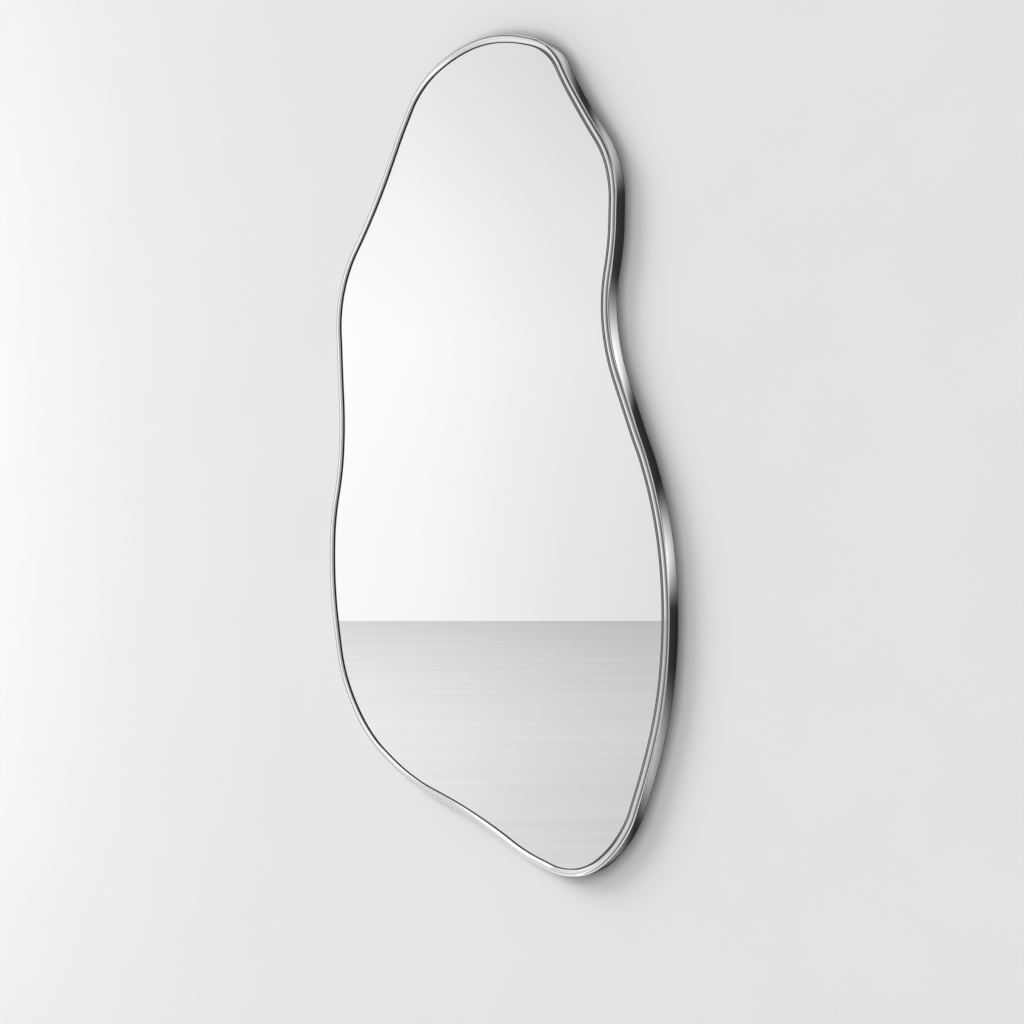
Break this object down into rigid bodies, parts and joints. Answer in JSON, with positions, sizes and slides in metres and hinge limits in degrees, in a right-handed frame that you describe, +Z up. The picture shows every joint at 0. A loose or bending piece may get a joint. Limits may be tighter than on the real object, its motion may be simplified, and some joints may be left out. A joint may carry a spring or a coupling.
{
  "type": "irregular wall mirror",
  "caption": "Wall mirror with a freeform waisted outline, held in a thin bent metal frame and hung on a hooked wall rail that it lifts off.",
  "frame": {"origin": "midway between the two wall screw holes, on the wall plane", "axes": "+X to the right and +Z up as seen from the room, +Y into the wall; the glass looks along -Y"},
  "size_m": [0.698, 0.022, 1.2],
  "materials": {
    "polished_steel": "mirror-polished stainless steel",
    "silvered_glass": "silvered float glass",
    "zinc_steel": "bright zinc plated",
    "black_board": "fibreboard with a black face",
    "black_rubber": "matt moulded rubber",
    "black_foam": "closed-cell foam tape",
    "safety_film": "woven-look adhesive film"
  },
  "bodies": {
    "wall_rail": {"wall_rail": "zinc_steel"},
    "mirror": {"frame_length_1": "polished_steel", "frame_length_2": "polished_steel", "frame_length_3": "polished_steel", "frame_length_4": "polished_steel", "seam_splice_1": "zinc_steel", "seam_splice_2": "zinc_steel", "seam_splice_3": "zinc_steel", "seam_splice_4": "zinc_steel", "glazing_gasket": "black_foam", "mirror_glass": "silvered_glass", "setting_block_left": "black_rubber", "setting_block_right": "black_rubber", "safety_film": "safety_film", "backing_board": "black_board", "tab_screws": "zinc_steel", "mirror_rail": "zinc_steel", "rail_screws": "zinc_steel", "tee_nuts": "zinc_steel", "bonding_tape_1": "black_foam", "bonding_tape_2": "black_foam", "bonding_tape_3": "black_foam", "bonding_tape_4": "black_foam", "bonding_tape_5": "black_foam", "retaining_tab_01": "zinc_steel", "retaining_tab_02": "zinc_steel", "retaining_tab_03": "zinc_steel", "retaining_tab_04": "zinc_steel", "retaining_tab_05": "zinc_steel", "retaining_tab_06": "zinc_steel", "retaining_tab_07": "zinc_steel", "retaining_tab_08": "zinc_steel", "wall_bumper_1": "black_rubber", "wall_bumper_2": "black_rubber", "wall_bumper_3": "black_rubber", "wall_bumper_4": "black_rubber"}
  },
  "joints": [
    {"name": "lift_off", "type": "slide", "parent": "wall_rail", "child": "mirror", "axis": [0, 0, 1], "range_m": [0, 0.014]}
  ]
}
